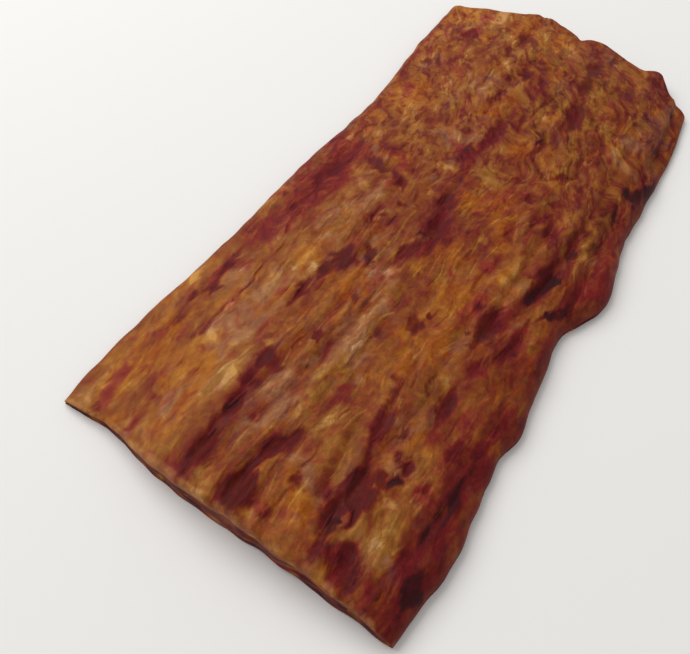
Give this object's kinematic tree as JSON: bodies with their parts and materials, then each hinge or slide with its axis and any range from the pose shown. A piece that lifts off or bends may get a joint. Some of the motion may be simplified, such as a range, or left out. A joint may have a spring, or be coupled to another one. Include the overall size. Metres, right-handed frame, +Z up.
{
  "type": "flat bully stick",
  "caption": "Broad, flat slab of air-dried meat for a dog to chew, cut square at one end and torn at the other, with long fibre ridges and grooves on a crowned top.",
  "frame": {"origin": "centre of the slab's footprint, on the surface it rests on", "axes": "+X along the grain from the cut end to the torn end, +Y across the slab, +Z up"},
  "size_m": [0.1532, 0.0748, 0.0085],
  "materials": {
    "dried_meat": "air-dried meat, fibrous and dull with a slight greasy shine"
  },
  "bodies": {
    "root": {"meat_slab": "dried_meat"}
  },
  "joints": []
}
